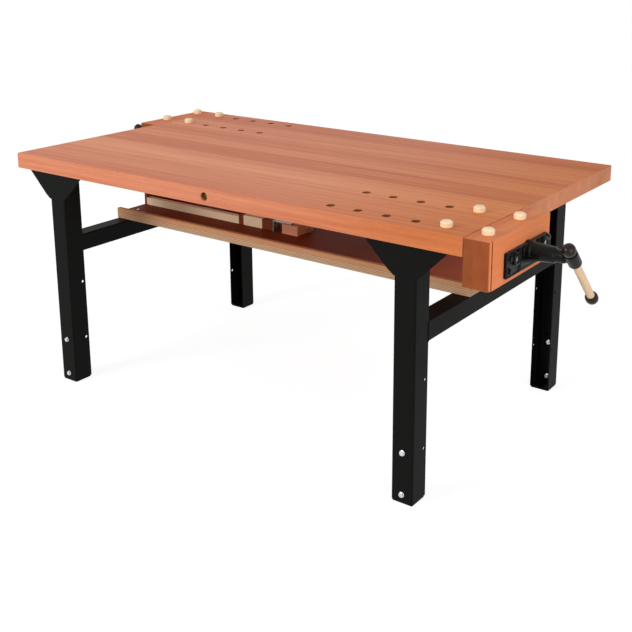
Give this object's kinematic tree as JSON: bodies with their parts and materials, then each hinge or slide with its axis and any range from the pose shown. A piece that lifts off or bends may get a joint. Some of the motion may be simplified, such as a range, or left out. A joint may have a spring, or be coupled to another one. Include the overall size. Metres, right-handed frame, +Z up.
{
  "type": "workbench",
  "caption": "Woodworking bench: thick beech top on folded steel legs with a plywood shelf, rows of dog holes with wooden dogs, and a screw vise with a wooden jaw at each end.",
  "frame": {"origin": "on the floor under the middle of the bench top", "axes": "+X along the length of the top towards the front vise's end, +Y from the front to the back, +Z up"},
  "size_m": [2.19, 1.003, 0.823],
  "materials": {
    "beech_top": "oiled steamed beech, glued staves",
    "beech_jaw": "oiled beech block",
    "pale_wood": "bare pale hardwood",
    "handle_wood": "turned beech, bare",
    "plywood": "lacquered plywood with open edges",
    "shelf_pale": "planed pale softwood",
    "shelf_brown": "brown hardwood",
    "shelf_red": "planed reddish beech",
    "black_steel": "black powder coat",
    "black_iron": "black painted casting",
    "grey_iron": "machined casting",
    "zinc": "zinc plated",
    "yellow_zinc": "yellow passivated zinc",
    "steel": "bright drawn steel",
    "black_plastic": "glossy dark moulding"
  },
  "bodies": {
    "bench": {"bench_top": "beech_top", "foot_inserts": "black_steel", "head_plate_back_left": "black_steel", "head_plate_back_right": "black_steel", "head_plate_front_left": "black_steel", "head_plate_front_right": "black_steel", "head_plate_screws": "zinc", "left_vise_body": "black_iron", "left_vise_screw_nut": "grey_iron", "leg_back_left": "black_steel", "leg_back_right": "black_steel", "leg_bolts_and_nuts": "zinc", "leg_front_left": "black_steel", "leg_front_right": "black_steel", "rail_end_plates": "black_steel", "rail_left": "black_steel", "rail_right": "black_steel", "right_vise_body": "black_iron", "right_vise_screw_nut": "grey_iron", "shelf_angle": "steel", "shelf_blocks": "shelf_brown", "shelf_end_board": "shelf_brown", "shelf_lips": "plywood", "shelf_pale_block": "shelf_pale", "shelf_panel": "plywood", "shelf_screws": "zinc", "shelf_stop_block": "shelf_red", "shelf_stop_bolts": "zinc", "shelf_strip": "shelf_pale", "tie_rod": "steel", "tie_rod_nuts": "yellow_zinc", "vise_body_screws": "zinc"},
    "right_jaw": {"right_vise_guide_rods": "steel", "right_vise_jaw": "beech_jaw", "right_vise_plate": "black_iron", "right_vise_plate_bolts": "black_iron", "right_vise_yoke": "black_iron", "right_vise_yoke_nuts": "zinc"},
    "right_screw": {"right_vise_screw": "black_iron", "right_vise_thrust_collar": "steel"},
    "right_handle": {"right_vise_handle_bar": "handle_wood", "right_vise_handle_knobs": "black_plastic"},
    "right_jaw_dog_outer": {"right_jaw_dog_outer": "pale_wood"},
    "right_jaw_dog_inner": {"right_jaw_dog_inner": "pale_wood"},
    "right_top_dog_outer": {"right_top_dog_outer": "pale_wood"},
    "right_top_dog_inner": {"right_top_dog_inner": "pale_wood"},
    "left_jaw": {"left_vise_guide_rods": "steel", "left_vise_jaw": "beech_jaw", "left_vise_plate": "black_iron", "left_vise_plate_bolts": "black_iron", "left_vise_yoke": "black_iron", "left_vise_yoke_nuts": "zinc"},
    "left_screw": {"left_vise_screw": "black_iron", "left_vise_thrust_collar": "steel"},
    "left_handle": {"left_vise_handle_bar": "handle_wood", "left_vise_handle_knobs": "black_plastic"},
    "left_jaw_dog_outer": {"left_jaw_dog_outer": "pale_wood"},
    "left_jaw_dog_inner": {"left_jaw_dog_inner": "pale_wood"},
    "left_top_dog_outer": {"left_top_dog_outer": "pale_wood"},
    "left_top_dog_inner": {"left_top_dog_inner": "pale_wood"}
  },
  "joints": [
    {"name": "right_screw_turn", "type": "hinge", "parent": "right_jaw", "child": "right_screw", "pos_m": [1.077, -0.295, 0.736], "axis": [1, 0, 0], "range_deg": [0, 8990]},
    {"name": "right_jaw_slide", "type": "slide", "parent": "bench", "child": "right_jaw", "axis": [1, 0, 0], "range_m": [0, 0.15]},
    {"name": "right_handle_slide", "type": "slide", "parent": "right_screw", "child": "right_handle", "axis": [0, 0.7009, -0.7133], "range_m": [-0.169, 0]},
    {"name": "right_jaw_dog_outer_lift", "type": "slide", "parent": "right_jaw", "child": "right_jaw_dog_outer", "axis": [0, 0, 1], "range_m": [0, 0.03]},
    {"name": "right_jaw_dog_inner_lift", "type": "slide", "parent": "right_jaw", "child": "right_jaw_dog_inner", "axis": [0, 0, 1], "range_m": [0, 0.03]},
    {"name": "right_top_dog_outer_lift", "type": "slide", "parent": "bench", "child": "right_top_dog_outer", "axis": [0, 0, 1], "range_m": [0, 0.03]},
    {"name": "right_top_dog_inner_lift", "type": "slide", "parent": "bench", "child": "right_top_dog_inner", "axis": [0, 0, 1], "range_m": [0, 0.03]},
    {"name": "left_screw_turn", "type": "hinge", "parent": "left_jaw", "child": "left_screw", "pos_m": [-1.077, 0.295, 0.736], "axis": [-1, 0, 0], "range_deg": [0, 8990]},
    {"name": "left_jaw_slide", "type": "slide", "parent": "bench", "child": "left_jaw", "axis": [-1, 0, 0], "range_m": [0, 0.15]},
    {"name": "left_handle_slide", "type": "slide", "parent": "left_screw", "child": "left_handle", "axis": [0, 0.9063, -0.4226], "range_m": [-0.169, 0]},
    {"name": "left_jaw_dog_outer_lift", "type": "slide", "parent": "left_jaw", "child": "left_jaw_dog_outer", "axis": [0, 0, 1], "range_m": [0, 0.03]},
    {"name": "left_jaw_dog_inner_lift", "type": "slide", "parent": "left_jaw", "child": "left_jaw_dog_inner", "axis": [0, 0, 1], "range_m": [0, 0.03]},
    {"name": "left_top_dog_outer_lift", "type": "slide", "parent": "bench", "child": "left_top_dog_outer", "axis": [0, 0, 1], "range_m": [0, 0.03]},
    {"name": "left_top_dog_inner_lift", "type": "slide", "parent": "bench", "child": "left_top_dog_inner", "axis": [0, 0, 1], "range_m": [0, 0.03]}
  ],
  "couplings": [
    {"joint": "right_jaw_slide", "follows": "right_screw_turn", "m_per_rad": 0.00095493},
    {"joint": "left_jaw_slide", "follows": "left_screw_turn", "m_per_rad": 0.00095493}
  ]
}
